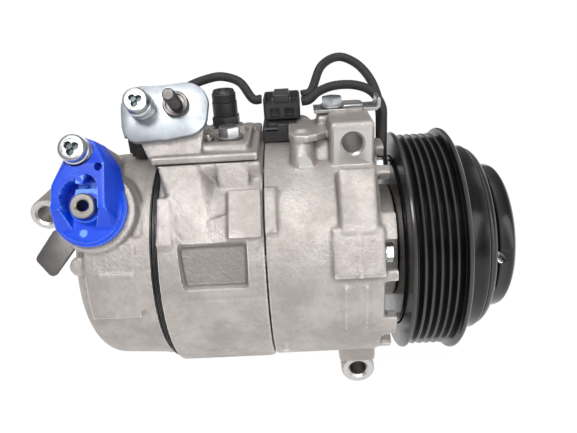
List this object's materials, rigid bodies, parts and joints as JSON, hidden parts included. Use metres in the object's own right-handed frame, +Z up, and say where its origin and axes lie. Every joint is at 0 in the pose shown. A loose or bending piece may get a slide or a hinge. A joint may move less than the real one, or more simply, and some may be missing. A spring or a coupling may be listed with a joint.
{
  "type": "car air-conditioning compressor",
  "caption": "Belt-driven car air-conditioning compressor: ribbed pulley and clutch on a round cast body with mounting ears, covered ports, wiring and a wobble-plate piston pump inside.",
  "frame": {"origin": "middle of the hub bolt's front face, on the shaft's axis", "axes": "+X along the shaft, out of the pulley; +Z up, with the two front ears one above the other and their holes along Y; -Y is the side of the ear faces, the suction cap and the discharge plate"},
  "size_m": [0.2279, 0.118, 0.1692],
  "materials": {
    "cast_aluminium": "as-cast aluminium, finely grained, satin",
    "zinc_plated_steel": "bright zinc plate",
    "machined_steel": "ground or rolled bare steel",
    "darkened_steel": "dark oxide",
    "black_gloss_paint": "black gloss coat",
    "blue_plastic": "saturated blue, semi-gloss",
    "black_plastic": "glass-filled, satin",
    "cable_sleeve": "braided sleeve",
    "black_rubber": "matt",
    "dark_shipping_steel": "grey phosphate"
  },
  "bodies": {
    "case": {"front_housing": "cast_aluminium", "cylinder_block": "cast_aluminium", "rear_housing": "cast_aluminium", "valve_plate": "darkened_steel", "rear_gasket": "darkened_steel", "body_o_ring": "black_rubber", "through_bolt_1": "zinc_plated_steel", "through_bolt_2": "zinc_plated_steel", "through_bolt_3": "zinc_plated_steel", "through_bolt_4": "zinc_plated_steel", "through_bolt_5": "zinc_plated_steel", "through_bolt_6": "zinc_plated_steel", "through_bolt_7": "zinc_plated_steel", "muffler_cover": "cast_aluminium", "discharge_cover_plate": "zinc_plated_steel", "plate_bolt_spacer": "zinc_plated_steel", "plate_bolt": "zinc_plated_steel", "plate_stud": "darkened_steel", "cover_bolt": "zinc_plated_steel", "relief_valve": "black_plastic", "port_cap": "blue_plastic", "cap_bush": "machined_steel", "cap_bolt_spacer": "zinc_plated_steel", "cap_bolt": "zinc_plated_steel", "cap_strap": "dark_shipping_steel", "wire_clip": "black_plastic", "connector_holder": "black_plastic", "connector": "black_plastic", "sensor_cable": "cable_sleeve", "coil_cable_long": "cable_sleeve", "coil_cable_short": "cable_sleeve", "cable_bracket": "machined_steel", "bracket_bolt": "zinc_plated_steel", "clutch_coil": "black_gloss_paint", "bearing_inner_ring": "machined_steel", "bearing_snap_ring": "darkened_steel", "shaft_seal": "black_rubber", "front_shaft_bearing": "machined_steel", "rear_shaft_bearing": "machined_steel", "thrust_bearing": "machined_steel", "control_valve": "machined_steel"},
    "pulley_rotor": {"pulley": "black_gloss_paint", "bearing_outer_ring": "machined_steel", "bearing_balls": "machined_steel"},
    "shaft_line": {"drive_shaft": "machined_steel", "hub": "black_gloss_paint", "hub_bolt": "zinc_plated_steel", "hub_damper": "black_rubber", "lug_plate": "machined_steel", "return_spring": "machined_steel"},
    "armature": {"armature_plate": "black_gloss_paint"},
    "wobble": {"wobble_plate": "cast_aluminium"},
    "journal": {"drive_journal": "machined_steel"},
    "piston_body_1": {"piston_1": "cast_aluminium"},
    "piston_body_2": {"piston_2": "cast_aluminium"},
    "piston_body_3": {"piston_3": "cast_aluminium"},
    "piston_body_4": {"piston_4": "cast_aluminium"},
    "piston_body_5": {"piston_5": "cast_aluminium"},
    "piston_body_6": {"piston_6": "cast_aluminium"},
    "piston_body_7": {"piston_7": "cast_aluminium"}
  },
  "joints": [
    {"name": "pulley_spin", "type": "hinge", "parent": "case", "child": "pulley_rotor", "pos_m": [-0.0375, 0, 0], "axis": [1, 0, 0], "continuous": true},
    {"name": "shaft_spin", "type": "hinge", "parent": "case", "child": "shaft_line", "pos_m": [-0.0375, 0, 0], "axis": [1, 0, 0], "continuous": true},
    {"name": "armature_slide", "type": "slide", "parent": "shaft_line", "child": "armature", "axis": [-1, 0, 0], "range_m": [0, 0.00045], "stiffness_N_per_m": 12000},
    {"name": "wobble_tilt", "type": "hinge", "parent": "case", "child": "wobble", "pos_m": [-0.098, 0, 0], "axis": [0, 1, 0], "range_deg": [0, 18]},
    {"name": "journal_spin", "type": "hinge", "parent": "wobble", "child": "journal", "pos_m": [-0.098, 0, 0], "axis": [1, 0, 0], "continuous": true},
    {"name": "piston_1_slide", "type": "slide", "parent": "case", "child": "piston_body_1", "axis": [1, 0, 0], "range_m": [0, 0.01222]},
    {"name": "piston_2_slide", "type": "slide", "parent": "case", "child": "piston_body_2", "axis": [1, 0, 0], "range_m": [0, 0.00626]},
    {"name": "piston_3_slide", "type": "slide", "parent": "case", "child": "piston_body_3", "axis": [1, 0, 0], "range_m": [-0.00442, 0]},
    {"name": "piston_4_slide", "type": "slide", "parent": "case", "child": "piston_body_4", "axis": [1, 0, 0], "range_m": [-0.01177, 0]},
    {"name": "piston_5_slide", "type": "slide", "parent": "case", "child": "piston_body_5", "axis": [1, 0, 0], "range_m": [-0.01026, 0]},
    {"name": "piston_6_slide", "type": "slide", "parent": "case", "child": "piston_body_6", "axis": [1, 0, 0], "range_m": [-0.00103, 0]},
    {"name": "piston_7_slide", "type": "slide", "parent": "case", "child": "piston_body_7", "axis": [1, 0, 0], "range_m": [0, 0.00898]}
  ],
  "couplings": [
    {"joint": "journal_spin", "follows": "shaft_spin", "ratio": 1},
    {"joint": "piston_1_slide", "follows": "wobble_tilt", "m_per_rad": 0.038909},
    {"joint": "piston_2_slide", "follows": "wobble_tilt", "m_per_rad": 0.01993},
    {"joint": "piston_3_slide", "follows": "wobble_tilt", "m_per_rad": -0.014057},
    {"joint": "piston_4_slide", "follows": "wobble_tilt", "m_per_rad": -0.037459},
    {"joint": "piston_5_slide", "follows": "wobble_tilt", "m_per_rad": -0.032654},
    {"joint": "piston_6_slide", "follows": "wobble_tilt", "m_per_rad": -0.0032594},
    {"joint": "piston_7_slide", "follows": "wobble_tilt", "m_per_rad": 0.028589}
  ]
}
